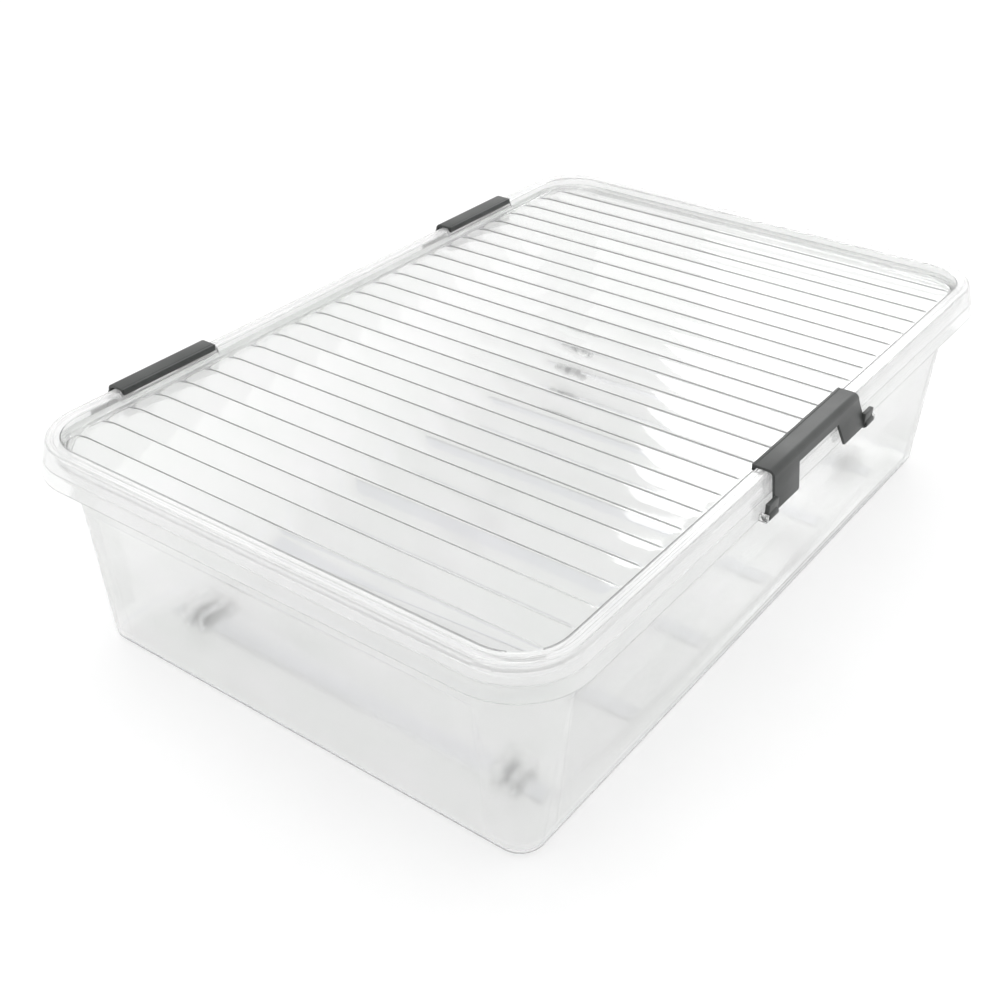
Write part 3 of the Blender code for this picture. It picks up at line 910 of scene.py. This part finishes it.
# A roller's section as (radius, along), from the bore round the tread and back
def rollerSection():
    half = roller["half"]
    rounded = 0.0004
    section = [(roller["bore"], half - rounded), (roller["bore"] + rounded, half),
               (roller["hub"] - rounded, half), (roller["hub"], half - rounded),
               (roller["hub"] + 0.0002, half - roller["webDepth"]),
               (roller["web"] - 0.0002, half - roller["webDepth"]),
               (roller["web"], half - rounded), (roller["web"] + rounded, half),
               (roller["tread"] - roller["chamfer"], half)]
    for step in range(1, 4):
        turn = math.pi / 2 * step / 3
        section.append((roller["tread"] - roller["chamfer"] * (1 - math.sin(turn)),
                        half - roller["chamfer"] * (1 - math.cos(turn))))
    depth = roller["groove"]
    section += [(roller["tread"], depth), (roller["tread"] - depth, depth / 3),
                (roller["tread"] - depth, -depth / 3), (roller["tread"], -depth)]
    beside = [point for point in section if point[1] > depth * 2]
    return section + [(radius, -along) for radius, along in reversed(beside)]


def makeRoller(name, centre):
    bm = bmesh.new()
    verts = [bm.verts.new((centre.x + radius, centre.y + along, centre.z))
             for radius, along in rollerSection()]
    edges = [bm.edges.new(pair) for pair in zip(verts, verts[1:] + verts[:1])]
    bmesh.ops.spin(bm, geom=verts + edges, cent=centre, axis=(0, 1, 0), angle=2 * math.pi,
                   steps=roller["steps"], use_merge=True)
    bmesh.ops.remove_doubles(bm, verts=bm.verts, dist=1e-6)
    bmesh.ops.recalc_face_normals(bm, faces=bm.faces)
    for index in range(roller["ribs"]):
        for end in (-1, 1):
            addWebRib(bm, centre, 2 * math.pi * index / roller["ribs"], end)
    return meshFrom(bm, "roller_" + name + "_wheel", rollerPlastic, "roller_" + name,
                    ["roller_" + name], 36)


# A small spoke between hub and rim, in the sunk web
def addWebRib(bm, centre, angle, end):
    low = (roller["hub"] - 0.0003, -0.0005, roller["half"] - roller["webDepth"] - 0.0002)
    high = (roller["web"] + 0.0003, 0.0005, roller["half"] - 0.0008)
    known = set(bm.verts)
    addBlock(bm, low, high, 0.0002, 2)
    fresh = [vert for vert in bm.verts if vert not in known]
    turn = (Matrix.Translation(centre) @ Matrix.Rotation(angle, 4, "Y")
            @ Matrix.Rotation(-end * math.pi / 2, 4, "X"))
    bmesh.ops.transform(bm, matrix=turn, verts=fresh)


def makeAxle(name):
    low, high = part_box("axle_" + name)
    centre = (low + high) / 2
    bm = bmesh.new()
    radius = (high.z - low.z) / 2
    addRod(bm, radius, (centre.x, low.y, centre.z), (centre.x, high.y, centre.z), "Y", 40, 0.0004)
    return meshFrom(bm, "axle_" + name + "_pin", axleSteel, "tub", ["axle_" + name], 34)


for placeName, placeCentre in rollerCentres():
    makeRoller(placeName, placeCentre)
    makeAxle(placeName)
print("rollers and axles made")


# Floor, light and camera
studio = {
    "floorHalf": 8.0,
    "world": 1.14,
    "cameraAt": (-0.932, -0.627, 0.776),
    "cameraTurn": (56.933, -0.053, -53.573),
    "lens": 49.9,
}
# Each softbox's place, target, size and radiance
softboxes = {
    "topSoftbox": ((-0.2, 0.2, 2.6), (0, 0, 0.1), (1.4, 1.4), 1.0),
    "sheenSoftbox": ((2.43, 0.69, 1.68), (0, -0.2, 0.2), (0.9, 0.7), 3.4),
}


def makeFloor():
    bm = bmesh.new()
    bmesh.ops.create_grid(bm, x_segments=8, y_segments=8, size=studio["floorHalf"])
    mesh = bpy.data.meshes.new("floor")
    bm.to_mesh(mesh)
    bm.free()
    mesh.materials.append(paleFloor())
    floor = bpy.data.objects.new("floor", mesh)
    bpy.context.scene.collection.objects.link(floor)


def addSoftbox(name, place, target, size, radiance):
    light = bpy.data.lights.new(name, "AREA")
    light.shape = "RECTANGLE"
    light.size, light.size_y = size
    light.energy = radiance * math.pi * size[0] * size[1]
    holder = bpy.data.objects.new(name, light)
    holder.location = place
    holder.rotation_euler = (Vector(place) - Vector(target)).to_track_quat("Z", "Y").to_euler()
    bpy.context.scene.collection.objects.link(holder)


def makeStudio():
    scene = bpy.context.scene
    world = bpy.data.worlds.new("studio")
    scene.world = world
    world.use_nodes = True
    back = world.node_tree.nodes["Background"]
    back.inputs["Color"].default_value = (1, 1, 1, 1)
    back.inputs["Strength"].default_value = studio["world"]
    scene.view_settings.view_transform = "Standard"
    for name, values in softboxes.items():
        addSoftbox(name, *values)
    camera = bpy.data.cameras.new("camera")
    camera.lens = studio["lens"]
    camera.sensor_width = 36.0
    holder = bpy.data.objects.new("camera", camera)
    holder.location = studio["cameraAt"]
    holder.rotation_euler = [math.radians(degrees) for degrees in studio["cameraTurn"]]
    scene.collection.objects.link(holder)
    scene.camera = holder


makeFloor()
makeStudio()
print("studio made")
